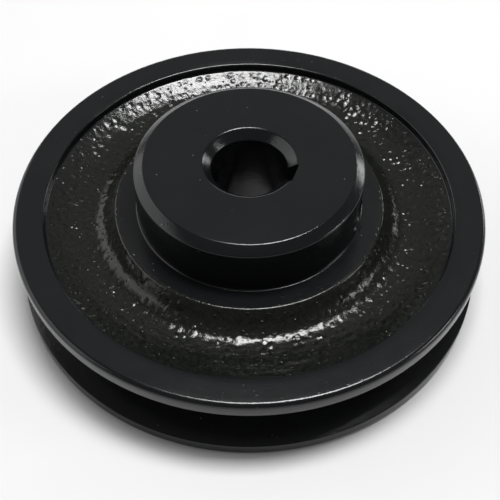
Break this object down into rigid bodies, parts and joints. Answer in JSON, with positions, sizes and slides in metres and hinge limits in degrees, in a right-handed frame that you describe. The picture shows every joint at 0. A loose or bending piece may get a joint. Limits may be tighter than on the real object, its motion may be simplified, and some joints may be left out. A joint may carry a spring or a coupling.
{
  "type": "v belt pulley",
  "caption": "Cast-iron V-belt pulley with a single groove, a projecting hub with a keyed bore, and a socket set screw over the keyway.",
  "frame": {"origin": "on the bore's axis, in the middle plane of the belt groove", "axes": "+Z along the bore towards the hub's nose, +X through the keyway and the set screw, shortest extent along Z"},
  "size_m": [0.1016, 0.1016, 0.0311],
  "materials": {
    "black_painted_iron": "satin-gloss black paint, smooth on turned faces and pebbled on the sand-cast web",
    "black_oxide_steel": "black oxide, lightly oiled"
  },
  "bodies": {
    "pulley": {"pulley_casting": "black_painted_iron"},
    "set_screw": {"set_screw": "black_oxide_steel"}
  },
  "joints": [
    {"name": "set_screw_travel", "type": "slide", "parent": "pulley", "child": "set_screw", "axis": [1, 0, 0], "range_m": [-0.0031, 0.009]}
  ]
}
